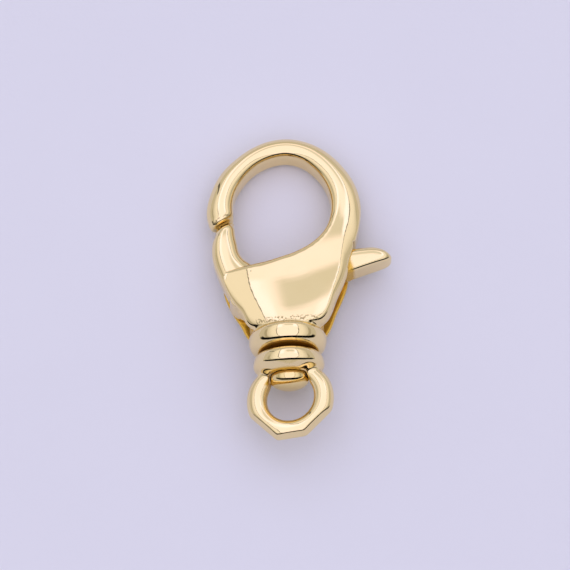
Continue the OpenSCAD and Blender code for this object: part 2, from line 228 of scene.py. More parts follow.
RIVET_PLACE = turn(DROOP - REST_SLOPE, "X")
SWIVEL_PLACE = RIVET_PLACE @ turn(-RING_TURN, "Y")
BODY_PLACE = RIVET_PLACE @ Matrix.Translation((0, JOINT_Y, 0)) @ turn(-DROOP, "X")


def refined(table, steps):
    """The table's rows with steps - 1 smooth rows put in after each."""
    padded = np.vstack((2 * table[0] - table[1], table, 2 * table[-1] - table[-2]))
    rows = []
    for k in range(1, len(table)):
        p0, p1, p2, p3 = padded[k - 1:k + 3]
        for j in range(steps):
            u = j / steps
            rows.append(p1 + u / 2 * (p2 - p0 + u * (2 * p0 - 5 * p1 + 4 * p2 - p3
                                                     + u * (3 * (p1 - p2) + p3 - p0))))
    return np.array(rows + [table[-1]])


CROWN_FINE = refined(CROWN, 24)
BOW_FINE = refined(BOW, 12)


def mm(length):
    """A size of the panel in millimetres, without the last digits that its storing adds."""
    return round(length / MM, 5)


def crown_share(x):
    return np.interp(x, CROWN_FINE[:, 0], CROWN_FINE[:, 1])


def polar(degrees, r):
    a = math.radians(degrees)
    return np.array((r * math.cos(a), r * math.sin(a)))


def mix(a, b, u):
    return a + (b - a) * u


def shoulder(d, w):
    """Quarter round from 0 at an edge to 1 at the distance w from it."""
    return 1.0 if d >= w else math.sqrt(max(0.0, 1 - (1 - d / w) ** 2))


def rise(d, w, edge):
    """Height of a bowed side at the distance d from its edge: a round edge, then a bow as wide as w."""
    return edge * shoulder(d, edge * w) + (1 - edge) * (1 - (1 - min(1.0, d / w)) ** 2)


def across(length, wi, wo, fine):
    quarter = np.radians(90 * np.arange(fine) / fine)
    return np.concatenate((
        wi * (1 - np.cos(quarter)),
        mix(wi, length - wo, np.arange(fine) / fine),
        length - wo * (1 - np.sin(np.append(quarter, math.pi / 2)))))


def section(p, q, top, ri, ro, wi, wo, ei=1.0, eo=1.0, fine=14):
    """Closed section between two points, from the inner rim over the front and back round.

    top gives the half thickness at a point, ri and ro are the half heights of either rim, wi and wo
    the widths of the shoulders above them, and ei and eo the shares of those that are a round edge."""
    length = np.linalg.norm(q - p)
    si = min(wi, 0.5 * length)
    so = min(wo, length - si)
    front = []
    for s in across(length, si, so, fine):
        at = mix(p, q, s / length)
        rim = mix(ri, ro, s / length)
        z = rim + (top(at) - rim) * rise(s, si, ei) * rise(length - s, so, eo)
        front.append((*at, z))
    return front + [(x, y, -z) for x, y, z in reversed(front)]


def loft(rings):
    """Points and faces of a solid through closed sections of equal length."""
    n, m = len(rings), len(rings[0])
    faces = [(i * m + j, i * m + (j + 1) % m, (i + 1) * m + (j + 1) % m, (i + 1) * m + j)
             for i in range(n - 1) for j in range(m)]
    faces += [tuple(range(m - 1, -1, -1)), tuple(range((n - 1) * m, n * m))]
    return [p for ring in rings for p in ring], faces


def lathe(profile, y, sides=96):
    """Points and faces of a solid turned about the Y axis, its profile given as (radius, height)."""
    rings = []
    for r, h in profile:
        rings.append([(r * math.cos(a), y + h, r * math.sin(a))
                      for a in np.radians(np.arange(sides) * 360 / sides)])
    return loft(rings)


def upright(outline, half):
    """Points and faces of a plate with that outline, half thick to either side of the middle plane."""
    return loft([[(x, y, -half) for x, y in outline], [(x, y, half) for x, y in outline]])


def disc(centre, r, half, sides=72):
    return upright([centre + polar(360 * k / sides, r) for k in range(sides)], half)


def half_t(at):
    """Half thickness of the hook and housing, which bows across as well as along."""
    right = max(0.0, at[0])
    share = crown_share((HOLE_Y - at[1] + LEAD * right * right / (right + LEAD_FROM)) / HOLE_TO_COLLAR)
    half_w = COLLAR_D / 2 + FLARE * (BOW_TOP - math.log1p(math.exp(BOW_TOP - at[1])) - COLLAR_TOP)
    reach = (at[0] - BOW_MIDDLE) / half_w
    drop = np.interp(max(-reach, RIGHT_REACH * reach), BOW_FINE[:, 0], BOW_FINE[:, 1])
    return mix(ARM_T, HOUSING_T, share) / 2 - (1 - (1 - min(1.0, BOW_IN * share)) ** 2) * drop


def hook_inner(r):
    return MIDDLE + polar(r[0], r[1] * HOLE_R)


def hook_outer(r):
    return MIDDLE + polar(r[2], r[1] * HOLE_R + r[3] * ARM_W + r[4] * PLATE_LEN)


def hook_section(shape, r, inset):
    p, q = hook_inner(r), hook_outer(r)
    length = np.linalg.norm(q - p)
    d = (q - p) / length * inset * TIP_SPREAD
    inner, outer = ARM_SHOULDERS
    ri = half_t(p) - inset - mix(mm(shape.hole_round), HOLE_EDGE, r[5])
    ro = mix(ARM_RIM * ARM_T, SLOT_T / 2 + mm(shape.plate_rim), r[5]) - inset / 2
    return section(p + d, q - d, lambda at: half_t(at) - inset, ri, ro,
                   mix(inner * length, HOLE_SHOULDER * HOLE_EDGE, r[5]),
                   mix(outer * length, r[6] * ARM_W, r[5]), *(mix(e, 1.0, r[5]) for e in ARM_ROUND))


def hook_shape(shape, steps=6):
    rows = refined(HOOK, steps)
    tip, edge = rows[0], mm(shape.tip_edge)
    full = tip.copy()
    full[[0, 2]] -= math.degrees(math.atan(edge / tip[1] / HOLE_R))
    ends = [hook_section(shape, mix(tip, full, u), edge * (1 - shoulder(u, 1))) for u in TIP_STEPS]
    return loft(ends + [hook_section(shape, r, 0) for r in rows[2:]])


def placed(r):
    return MIDDLE + polar(r[0], r[1] * HOLE_R + r[2] * PLATE_LEN)


PIN_AT = placed(PIN)
ARM_DIR = polar(LEVER_ANGLE, 1)
ARM_UP = polar(LEVER_ANGLE + 90, 1)
FLANK_REACH = (hook_outer(HOOK[FLANK]) - PIN_AT) @ ARM_DIR


def on_arm(along, up):
    return PIN_AT + along * ARM_DIR + up * ARM_UP


def slot_shape():
    wide = HOUSING_T + HOLE_R
    top = LEVER_ARM_W / 2 + ROOT_GAP
    mouth = placed(MOUTH)
    return [(-wide, COLLAR_TOP + SLOT_FLOOR), (wide, COLLAR_TOP + SLOT_FLOOR),
            on_arm(FLANK_REACH + TAB_LEN, top + ROOT_GAP), on_arm(ROOF_AT * FLANK_REACH, top),
            mouth, (-wide, mouth[1])]


def cut(d, w, straight=0.0):
    """Depth of a rim's cut at the distance d from the end, as a share: round, or in part straight."""
    return mix(1 - shoulder(d, w), max(0.0, 1 - d / w), straight)


def barrel(d, h, bulge, peak, low, high, fine=96):
    """Profile of a collar: a bulging side with cut rims, each given by its depth, height and straightness."""
    r = ((COLLAR_PEAK * h) ** 2 + bulge ** 2) / 2 / bulge
    profile = [(0.0, 0.0)]
    for k in range(fine + 1):
        t = h * (1 - math.cos(math.pi * k / fine)) / 2
        side = d / 2 - r + math.sqrt(r * r - (t - peak * h) ** 2)
        side -= low[0] * cut(t, *low[1:]) + high[0] * cut(h - t, *high[1:])
        profile.append((side, t))
    return profile + [(0.0, h)]


def rod(d, low, high):
    return [(0.0, low), (d / 2, low), (d / 2, high), (0.0, high)]


def gate_section(shape, p, q, h, rim):
    across_it, edge = GATE_SHOULDER * np.linalg.norm(q - p), mm(shape.gate_round)
    return section(p, q, lambda at: h, h - edge, min(rim * h, h - edge), across_it, across_it,
                   GATE_EDGE, GATE_EDGE)


def gate_row(shape, r):
    return gate_section(shape, MIDDLE + polar(r[0], r[1] * HOLE_R),
                        MIDDLE + polar(r[2], r[1] * HOLE_R + r[3] * GATE_W), r[4] * LEVER_T / 2, r[5])


def gate_end(shape, r):
    """Section beside the hook's tip, as shares of the tip's width."""
    a = hook_inner(HOOK[0])
    d = hook_outer(HOOK[0]) - a
    off = np.array((-d[1], d[0])) / np.linalg.norm(d) * r[3] * TIP_GAP
    return gate_section(shape, a + r[0] * d + off, a + r[1] * d + off, r[2] * LEVER_T / 2, GATE[0][5])


def tab_section(r):
    a, h, w = FLANK_REACH + r[0] * TAB_LEN, r[3] * LEVER_T / 2, LEVER_ARM_W / 2
    return section(on_arm(a, r[1] * w), on_arm(a, r[2] * w), lambda at: h, h - TAB_LOW_EDGE, TAB_HIGH_RIM * h,
                   TAB_LOW_SHOULDER, TAB_HIGH_SHOULDER * LEVER_ARM_W, *TAB_ROUND)


def ring_section(r):
    inner, h = EYE_R - EYE_BAND * WIRE_D, WIRE_D / 2
    return section(polar(r[0], inner), polar(r[0], inner + r[1] * WIRE_D), lambda at: h,
                   RING_RIM * h, RING_RIM * h, h, h)


def mesh_object(name, shape, matrix=None):
    """New object in the scene from points and faces, with its faces turned outward."""
    mesh = bpy.data.meshes.new(name)
    mesh.from_pydata([tuple(map(float, p)) for p in shape[0]], [], shape[1])
    if matrix is not None:
        mesh.transform(matrix)
    obj = bpy.data.objects.new(name, mesh)
    bpy.context.scene.collection.objects.link(obj)
    fresh = bmesh_of(mesh)
    bmesh.ops.remove_doubles(fresh, verts=fresh.verts, dist=WELD)
    bmesh.ops.recalc_face_normals(fresh, faces=fresh.faces)
    fresh.to_mesh(mesh)
    fresh.free()
    return obj


def bmesh_of(mesh):
    fresh = bmesh.new()
    fresh.from_mesh(mesh)
    return fresh


def applied(obj):
    """Puts the result of an object's modifiers in the place of its mesh."""
    depsgraph = bpy.context.evaluated_depsgraph_get()
    made = bpy.data.meshes.new_from_object(obj.evaluated_get(depsgraph))
    obj.modifiers.clear()
    old, obj.data = obj.data, made
    bpy.data.meshes.remove(old)


def combine(obj, other, how):
    """Joins another solid to the object, or cuts it away, and removes it."""
    boolean = obj.modifiers.new(how.lower(), "BOOLEAN")
    boolean.operation, boolean.object, boolean.solver = how, other, "EXACT"
    bpy.context.view_layer.update()
    applied(obj)
    bpy.data.objects.remove(other)


def calm(obj, soft, even):
    """Rounds a fine mesh's edges a little, then takes out unevenness at its own scale."""
    mesh = obj.data
    n = len(mesh.vertices)
    co = np.empty(3 * n)
    mesh.vertices.foreach_get("co", co)
    co = co.reshape(n, 3)
    ends = np.empty(2 * len(mesh.edges), dtype=int)
    mesh.edges.foreach_get("vertices", ends)
    i, j = ends.reshape(-1, 2).T
    degree = np.bincount(i, minlength=n) + np.bincount(j, minlength=n)
    for w in [SOFTEN] * soft + [SOFTEN, SWELL] * even:
        near = np.stack([np.bincount(i, co[j, c], n) + np.bincount(j, co[i, c], n) for c in range(3)], 1)
        co += w * (near / degree[:, None] - co)
    mesh.vertices.foreach_set("co", co.ravel())
    mesh.update()


def cast(obj, voxel, soft, even):
    """Turns joined solids into one even mesh with soft edges."""
    remesh = obj.modifiers.new("even", "REMESH")
    remesh.mode, remesh.voxel_size, remesh.adaptivity = "VOXEL", voxel, 0
    bpy.context.view_layer.update()
    applied(obj)
    calm(obj, soft, even)


def between(x, low, high):
    """Goes smoothly from 0 at low to 1 at high."""
    u = np.clip((x - low) / (high - low), 0, 1)
    return u * u * (3 - 2 * u)


def within(x, low, high):
    """Goes smoothly from 1 at low to 0 at high."""
    return 1 - between(x, low, high)


def masked(obj, name, rule):
    """Stores a mask on the mesh's points, from their x, y and z in millimetres."""
    mesh = obj.data
    co = np.empty(3 * len(mesh.vertices))
    mesh.vertices.foreach_get("co", co)
    values = np.clip(rule(*co.reshape(-1, 3).T), 0, 1)
    mesh.attributes.new(name, "FLOAT", "POINT").data.foreach_set("value", values.astype(np.float32))


# Where the masks of painted shade (dark gold) in hollows and of specks fade, in millimetres, and how strong
# they are
SLOT_WALL, SLOT_TOP, SLOT_SHADE = (0.02, 0.12), (9.0, 9.6), 0.7
FACE_UP, FACE_OUT = (0.02, 0.14), (-1.0, -0.75)
FOOT_FROM, FOOT_TO, FOOT_SIDE = (2.25, 2.4), (2.7, 2.9), (2.8, 3.4)
END_FROM, END_TO, END_FRONT, END_LEFT = (-0.45, -0.38), (-0.22, -0.15), (0.7, 1.0), -4
TOP_FROM, TOP_OUT = (-0.12, -0.04), (-1.1, -0.8)
EYE_LOW, EYE_HIGH, EYE_OUT, EYE_SHADE = (1.2, 1.6), (0.15, 0.4), (0.25, 0.5), 0.65
CRESCENT_OUT, CRESCENT_WAY, CRESCENT_FADE, CRESCENT_SHADE = (0.02, 0.22), (0.6, 0.3), (0, 2.0), 0.5
LEVER_FROM, LEVER_TO, LEVER_SHADE = (1.5, 2.5), (-0.35, 0.15), 0.6
RIM_FROM, RIM_SHADE = (-0.3, -0.12), 0.6


# Painted shade: darker gold on the slot's inner walls and on the collar's underside, across the gap from the
# lower collar
def hook_hollow(x, y, z):
    slot = within(abs(z) - SLOT_T / 2, *SLOT_WALL) * within(y, *SLOT_TOP)
    face = within(y - COLLAR_GAP / 2, *FACE_UP) * within(np.hypot(x, z) - COLLAR_D / 2, *FACE_OUT)
    return np.maximum(SLOT_SHADE * slot * (y > COLLAR_TOP), face)


def hook_marks(x, y, z):
    """Specks left by polishing where the housing meets its collar, and at the hook's tip."""
    foot = between(y, *FOOT_FROM) * within(y, *FOOT_TO) * within(abs(x), *FOOT_SIDE)
    end = hook_inner(HOOK[0])
    way = hook_outer(HOOK[0]) - end
    past = ((x - end[0]) * -way[1] + (y - end[1]) * way[0]) / np.linalg.norm(way)
    tip = between(past, *END_FROM) * within(past, *END_TO) * between(z, *END_FRONT) * (x < END_LEFT)
    return np.maximum(foot, tip)


# Painted shade: darker gold on the lower collar's top across the gap, inside the eye under the collar, and in a
# crescent inside the eye
def ring_hollow(x, y, z):
    from_eye = np.hypot(x, y) - EYE_R
    top = between(y - EYE_TO_COLLAR - TURN_COLLAR_H, *TOP_FROM) * within(
        np.hypot(x, z) - TURN_COLLAR_D / 2, *TOP_OUT)
    under = between(y, *EYE_LOW) * within(y - EYE_TO_COLLAR, *EYE_HIGH) * within(from_eye, *EYE_OUT)
    start, slant = CRESCENT_WAY
    crescent = within(from_eye, *CRESCENT_OUT) * between(start - x - slant * y, *CRESCENT_FADE)
    return np.maximum(np.maximum(top, EYE_SHADE * under), CRESCENT_SHADE * crescent)


# Painted shade: darker gold on the lever's arm where it sits inside the housing's slot
def lever_hollow(x, y, z):
    along = (x - PIN_AT[0]) * ARM_DIR[0] + (y - PIN_AT[1]) * ARM_DIR[1]
    return LEVER_SHADE * between(along, *LEVER_FROM) * within(along - FLANK_REACH, *LEVER_TO)


# Painted shade: darker gold on the rivet's post and the back of its head, under the collar
def rivet_hollow(x, y, z):
    return RIM_SHADE * between(y - HEAD_BACK, *RIM_FROM)


def settle(obj, place, node, body):
    """Places a finished piece in metres, on its body, in the place of its node and inside its box."""
    mesh = obj.data
    mesh.transform(Matrix.Scale(MM, 4) @ place)
    low, high = (np.array(c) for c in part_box(node))
    co = np.empty(3 * len(mesh.vertices))
    mesh.vertices.foreach_get("co", co)
    mesh.vertices.foreach_set("co", np.clip(co.reshape(-1, 3), low, high).ravel())
    mesh.shade_smooth()
    mesh.update()
    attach(obj, body)
    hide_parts(node)


class Wire:
    """A value in a node tree, so that sums and products of values can be written plainly."""

    def __init__(self, tree, socket):
        self.tree, self.socket = tree, socket

    def math(self, operation, *others):
        node = self.tree.nodes.new("ShaderNodeMath")
        node.operation = operation
        for socket, value in zip(node.inputs, (self, *others)):
            feed(self.tree, socket, value)
        return Wire(self.tree, node.outputs[0])

    def __add__(self, other):
        return self.math("ADD", other)

    def __sub__(self, other):
        return self.math("SUBTRACT", other)

    def __mul__(self, other):
        return self.math("MULTIPLY", other)

    def __truediv__(self, other):
        return self.math("DIVIDE", other)

    def rise(self, low, high):
        """Goes smoothly from 0 at low to 1 at high."""
        node = self.tree.nodes.new("ShaderNodeMapRange")
        node.interpolation_type = "SMOOTHSTEP"
        node.inputs["From Min"].default_value, node.inputs["From Max"].default_value = low, high
        feed(self.tree, node.inputs["Value"], self)
        return Wire(self.tree, node.outputs["Result"])

    def fall(self, low, high):
        """Goes smoothly from 1 at low to 0 at high."""
        return (self * -1).rise(-high, -low)

    def band(self, low, high, soft):
        return self.rise(low - soft, low + soft) * self.fall(high - soft, high + soft)


def feed(tree, socket, value):
    """Sets a socket to a plain value, or links a wire to it."""
    if isinstance(value, Wire):
        tree.links.new(value.socket, socket)
    else:
        socket.default_value = value


def blended(tree, share, below, above):
    """Colour between two colours, by a share from 0 to 1."""
    node = tree.nodes.new("ShaderNodeMix")
    node.data_type = "RGBA"
    feed(tree, node.inputs["Factor"], share)
    for socket, value in ((node.inputs[6], below), (node.inputs[7], above)):
        feed(tree, socket, value if isinstance(value, Wire) else (*value, 1))
    return Wire(tree, node.outputs[2])


def noise(tree, place, scale, detail):
    node = tree.nodes.new("ShaderNodeTexNoise")
    node.inputs["Scale"].default_value, node.inputs["Detail"].default_value = scale, detail
    tree.links.new(place.socket, node.inputs["Vector"])
    return Wire(tree, node.outputs["Fac"])


def sparse_dots(tree, place, scale, size, share):
    """Mask of small round dots, one in a share of the cells of an uneven grid."""
    cells = tree.nodes.new("ShaderNodeTexVoronoi")
    cells.inputs["Scale"].default_value = scale
    tree.links.new(place.socket, cells.inputs["Vector"])
    parts = tree.nodes.new("ShaderNodeSeparateColor")
    tree.links.new(cells.outputs["Color"], parts.inputs[0])
    chosen = Wire(tree, parts.outputs[0]).rise(1 - share, 1 - share + 0.01)
    return Wire(tree, cells.outputs["Distance"]).fall(size / 2, size) * chosen


def node_group(name, ins, outs):
    """Shader node group with named sockets. Returns its tree, its inputs as wires and its output node."""
    tree = bpy.data.node_groups.new(name, "ShaderNodeTree")
    for label, kind, value in ins:
        socket = tree.interface.new_socket(label, in_out="INPUT", socket_type=kind)
        if value is not None:
            socket.default_value = value
    for label, kind in outs:
        tree.interface.new_socket(label, in_out="OUTPUT", socket_type=kind)
    start, end = tree.nodes.new("NodeGroupInput"), tree.nodes.new("NodeGroupOutput")
    return tree, {label: Wire(tree, start.outputs[label]) for label, *_ in ins}, end


# Gold plate: textures by scale and detail or size, then how far each moves the colour, gloss and height
SLOW_WAVES, FINE_GRAIN = (260, 1.0), (1500, 2.0)
PITS = (900, 0.10, 0.10)
SPECKS, SPECK_FADE = (4200, 2.0), (0.52, 0.60)
PIT_TONE, PIT_SHARE = (0.22, 0.16, 0.05), 0.75
# Painted shade: the darkest, most saturated gold in hollows, and the share of the shade mask where it begins
DEEP_SHADE_TONE, DEEP_SHADE_FROM = (0.30, 0.12, 0.008), 0.7
TONE_FADE, TONE_SHARE = (0.3, 0.7), 0.05
# Painted shade makes the plate less metallic, so that it shows as flat dark gold
HOLLOW_SHADE_DULL = -0.6
GRAIN_ROUGH, HOLLOW_ROUGH, PIT_ROUGH = 0.02, 0.25, 0.3
GRAIN_HIGH, PIT_DEEP = 0.03, 0.6
PLATE_DEPTH = 0.000012
# Table paper
MOTTLE, FIBRE = (90, 2.0), (2600, 3.0)
MOTTLE_TONE, MOTTLE_SHARE = (0.6, 0.6, 0.64), 0.03
FIBRE_ROUGH, PAPER_ROUGH = 0.2, 0.62
PAPER_DEPTH = 0.00001
PAPER_SHINE = 0.1


def put_out(tree, end, outs):
    for label, wire in outs:
        tree.links.new(wire.socket, end.inputs[label])
    return tree


def plating_group():
    """Bright plate: slow unevenness, sparse pits and specks, and painted shade in hollows: a darker, more
    saturated, duller gold that stands in for shade and gold reflected in gold.
    """
    name = "gold_plating"
    if name in bpy.data.node_groups:
        return bpy.data.node_groups[name]
    tree, given, end = node_group(name, [
        ("Place", "NodeSocketVector", None), ("Plate", "NodeSocketColor", None),
        ("Hollow Shade Tone", "NodeSocketColor", None), ("Polish", "NodeSocketFloat", None),
        ("Hollow Shade", "NodeSocketFloat", 0.0), ("Marks", "NodeSocketFloat", 0.0)], [
        ("Color", "NodeSocketColor"), ("Metallic", "NodeSocketFloat"), ("Roughness", "NodeSocketFloat"),
        ("Height", "NodeSocketFloat")])
    place, hollow = given["Place"], given["Hollow Shade"]
    slow, fine = noise(tree, place, *SLOW_WAVES), noise(tree, place, *FINE_GRAIN)
    specks = noise(tree, place, *SPECKS).rise(*SPECK_FADE) * given["Marks"]
    spots = sparse_dots(tree, place, *PITS).math("MAXIMUM", specks)
    tone = blended(tree, slow.rise(*TONE_FADE) * TONE_SHARE, given["Plate"], given["Hollow Shade Tone"])
    # Painted shade: the mask turns the plate to a darker, more saturated gold, and below makes it less
    # metallic, standing in for shade and gold-on-gold reflection
    tone = blended(tree, hollow.rise(0.0, DEEP_SHADE_FROM), tone, given["Hollow Shade Tone"])
    tone = blended(tree, hollow.rise(DEEP_SHADE_FROM, 1.0), tone, DEEP_SHADE_TONE)
    tone = blended(tree, spots * PIT_SHARE, tone, PIT_TONE)
    rough = given["Polish"] + fine * GRAIN_ROUGH + hollow * HOLLOW_ROUGH + spots * PIT_ROUGH
    return put_out(tree, end, (("Color", tone), ("Metallic", hollow * HOLLOW_SHADE_DULL + 1.0), ("Roughness", rough),
                               ("Height", slow + fine * GRAIN_HIGH - spots * PIT_DEEP)))


def paper_group():
    """Table paper: a faint mottle and fibre."""
    tree, given, end = node_group("paper", [
        ("Place", "NodeSocketVector", None), ("Paper", "NodeSocketColor", None)], [
        ("Color", "NodeSocketColor"), ("Roughness", "NodeSocketFloat"), ("Height", "NodeSocketFloat")])
    mottle, fibre = noise(tree, given["Place"], *MOTTLE), noise(tree, given["Place"], *FIBRE)
    tone = blended(tree, mottle.rise(*TONE_FADE) * MOTTLE_SHARE, given["Paper"], MOTTLE_TONE)
    return put_out(tree, end, (("Color", tone), ("Roughness", fibre * FIBRE_ROUGH + PAPER_ROUGH),
                               ("Height", fibre)))


def dressed(name, group, values, depth):
    """Material whose Principled shader is fed by a node group, with the group's height as a bump."""
    mat = bpy.data.materials.new(name)
    mat.use_nodes = True
    tree = mat.node_tree
    shader = tree.nodes["Principled BSDF"]
    made = tree.nodes.new("ShaderNodeGroup")
    made.node_tree = group
    place = tree.nodes.new("ShaderNodeTexCoord")
    tree.links.new(place.outputs["Object"], made.inputs["Place"])
    for label, value in values.items():
        if isinstance(value, str):
            source = tree.nodes.new("ShaderNodeAttribute")
            source.attribute_name = value
            tree.links.new(source.outputs["Fac"], made.inputs[label])
        else:
            made.inputs[label].default_value = value
    bump = tree.nodes.new("ShaderNodeBump")
    bump.inputs["Distance"].default_value = depth
    tree.links.new(made.outputs["Height"], bump.inputs["Height"])
    tree.links.new(bump.outputs["Normal"], shader.inputs["Normal"])
    for label, goal in (("Color", "Base Color"), ("Metallic", "Metallic"), ("Roughness", "Roughness")):
        if label in made.outputs:
            tree.links.new(made.outputs[label], shader.inputs[goal])
    return mat


def gold(name, plate, polish):
    """The clasp's gold plate in one tone with painted shade in its hollows, made once and given its tones again
    at each use.
    """
    mat = bpy.data.materials.get(name) or dressed(
        name, plating_group(), {"Hollow Shade": "hollow", "Marks": "marks"}, PLATE_DEPTH)
    given = mat.node_tree.nodes["Group"].inputs
    given["Plate"].default_value = (*plate, 1)
    given["Hollow Shade Tone"].default_value = (*bpy.context.scene.clasp_finish.hollow_tone, 1)
    given["Polish"].default_value = polish
    return mat


def cast_gold():
    finish = bpy.context.scene.clasp_finish
    return gold("polished_gold", finish.plate, finish.polish)


def rivet_gold():
    finish = bpy.context.scene.clasp_finish
    return gold("rivet_gold", finish.rivet_plate, finish.rivet_polish)


# Softbox overhead, by places on a ceiling at the height 1: a main panel with a hotter part and a cooler
# one at its back, a dark seam at either side of it, and side panels that fall off
PANEL_SIDE, PANEL_FAR, FAR_FADE = (1.0, 0.98, 1.12), (0.72, 0.70, 0.76), (0.8, 1.8)
PANEL_MAIN, MAIN_EDGE = (1.2, 1.14, 1.46), (0.58, 0.60)
PANEL_HOT, HOT_ACROSS, HOT_ALONG = (1.3, 1.3, 1.85), (0.30, 0.60, 0.06), (0.5, 1.2, 0.15)
PANEL_BACK, BACK_LEFT, BACK_RIGHT = (0.80, 0.79, 0.88), (-0.26, -0.06), (0.32, 0.46)
BACK_NEAR, BACK_FAR = (0.64, 0.80), (1.0, 1.5)
SEAM, SEAM_ACROSS, SEAM_END = (0.07, 0.065, 0.05), (0.60, 0.64, 0.008), (2.4, 3.2)
BOX_SIDE, BOX_LOW, BOX_FAR = (1.9, 2.0), (0.45, 0.5), (1.5, 3.4)
FRAME_SIDE, FRAME_ACROSS, FRAME_FAR = (0.45, 0.43, 0.42), (1.9, 2.9, 0.1), (0.8, 1.6)
# Dark strip in front and dark stand at the back right, by direction, and pale walls
DARK, LOW_SPREAD = (0.004, 0.004, 0.004), 0.3
STRIP_HEIGHT, STRIP_NEAR = (0.11, 0.50, 0.012), (-0.25, -0.05)
STAND_WAY, STAND_WIDTH = (0.75, 0.66), (-0.015, 0.025, 0.012)
STAND_BACK, STAND_TOP = (0, 0.1), (0.40, 0.45)
WALLS, HORIZON = (0.6, 0.585, 0.62), (0.02, 0.05)
LOWEST = 0.001


def studio_light():
    """World with a softbox of three panels overhead, its dark frame, and pale walls down to the table."""
    world = bpy.data.worlds.new("studio")
    world.use_nodes = True
    tree = world.node_tree
    way = tree.nodes.new("ShaderNodeSeparateXYZ")
    tree.links.new(tree.nodes.new("ShaderNodeTexCoord").outputs["Generated"], way.inputs[0])
    x, y, z = (Wire(tree, s) for s in way.outputs)
    height = z.math("MAXIMUM", LOWEST)
    u, v = x / height, y / height
    wide = u.math("ABSOLUTE")
    panels = blended(tree, wide.rise(*FAR_FADE), PANEL_SIDE, PANEL_FAR)
    panels = blended(tree, wide.fall(*MAIN_EDGE), panels, PANEL_MAIN)
    panels = blended(tree, wide.band(*HOT_ACROSS) * v.band(*HOT_ALONG), panels, PANEL_HOT)
    panels = blended(tree, u.rise(*BACK_LEFT) * u.fall(*BACK_RIGHT) * v.rise(*BACK_NEAR) * v.fall(*BACK_FAR),
                     panels, PANEL_BACK)
    panels = blended(tree, wide.band(*SEAM_ACROSS) * v.fall(*SEAM_END), panels, SEAM)
    low = z + x * x * LOW_SPREAD
    box = wide.fall(*BOX_SIDE) * low.rise(*BOX_LOW) * v.fall(*BOX_FAR)
    sides = wide.band(*FRAME_ACROSS) * v.fall(*FRAME_FAR)
    strip = low.band(*STRIP_HEIGHT) * y.fall(*STRIP_NEAR)
    stand = (x * STAND_WAY[0] + y * STAND_WAY[1]).band(*STAND_WIDTH) * y.rise(*STAND_BACK) * z.fall(*STAND_TOP)
    above = z.rise(*HORIZON)
    color = blended(tree, box * above, WALLS, panels)
    color = blended(tree, sides * above, color, FRAME_SIDE)
    color = blended(tree, (strip + stand) * above, color, DARK)
    tree.links.new(color.socket, tree.nodes["Background"].inputs["Color"])
    return world


# Camera as fitted to the photograph, 570 pixels wide, and the table's half width in metres
AIM = (-0.55, 10.738, 3.676)
SENSOR_W = 36.0
PHOTO_W = 570
FOCAL_PX = 4000
FITTED_AT = 0.4
CLIP_FROM = 0.01
TABLE_HALF = 2.0


class ClaspShape(PropertyGroup):
    hole_round: FloatProperty(name="Arm rounding", description="Rounding of the hook's inner edge",
                              default=0.85 * MM, min=0.2 * MM, max=1.0 * MM, unit="LENGTH", precision=5)
    tip_edge: FloatProperty(name="Tip rounding", description="Rounding of the hook's tip",
                            default=0.5 * MM, min=0.1 * MM, max=0.6 * MM, unit="LENGTH", precision=5)
    plate_rim: FloatProperty(name="Plate rim", description="Thickness of the housing's plates at their edge",
                             default=0.42 * MM, min=0.3 * MM, max=0.55 * MM, unit="LENGTH", precision=5)
    gate_round: FloatProperty(name="Gate rounding", description="Rounding of the gate's edges",
                              default=0.85 * MM, min=0.3 * MM, max=0.9 * MM, unit="LENGTH", precision=5)
    flat_tilt: FloatProperty(name="Tilt of the flats", description="Tilt of the ring's flats to either side",
                             default=math.radians(22.0), min=math.radians(10), max=math.radians(30),
                             subtype="ANGLE")
    voxel: FloatProperty(name="Mesh fineness", description="Spacing of the pieces' mesh points, in millimetres",
                         default=0.105, min=0.05, max=0.3)
    soft: IntProperty(name="Edge softness", description="Rounds of smoothing that soften every edge",
                      default=3, min=0, max=20)
    even: IntProperty(name="Evenness", description="Rounds of smoothing that keep the edges' roundness",
                      default=12, min=0, max=60)


class ClaspFinish(PropertyGroup):
    plate: FloatVectorProperty(name="Gold", description="Colour of the cast pieces' plate", subtype="COLOR",
                               default=(0.93, 0.755, 0.41), min=0, max=1)
    polish: FloatProperty(name="Polish", description="Roughness of the cast pieces' polish, 0 for a mirror",
                          default=0.05, min=0, max=1, subtype="FACTOR")
    rivet_plate: FloatVectorProperty(name="Rivet's gold", description="Colour of the rivet's and pin's plate",
                                     subtype="COLOR", default=(0.9, 0.71, 0.34), min=0, max=1)
    rivet_polish: FloatProperty(name="Rivet's polish", description="Roughness of the rivet's and pin's polish",
                                default=0.07, min=0, max=1, subtype="FACTOR")
    # Painted shade: the dark, saturated gold painted into hollows and gaps between the pieces
    hollow_tone: FloatVectorProperty(name="Gold in hollows", description="Colour of the painted shade in hollows",
                                     subtype="COLOR", default=(0.72, 0.43, 0.04), min=0, max=1)


class ClaspStudio(PropertyGroup):
    elevation: FloatProperty(name="Camera height", description="Camera's angle above the table",
                             default=math.radians(71.1), subtype="ANGLE")
    turned: FloatProperty(name="Clasp turn", description="Turn of the clasp on the table, seen by the camera",
                          default=math.radians(2.5), subtype="ANGLE")
    distance: FloatProperty(name="Camera distance", description="Distance from the camera to the clasp",
                            default=0.4, unit="LENGTH")
    floor_color: FloatVectorProperty(name="Floor", description="Colour of the table", subtype="COLOR",
                                     default=(0.735, 0.74, 0.762))


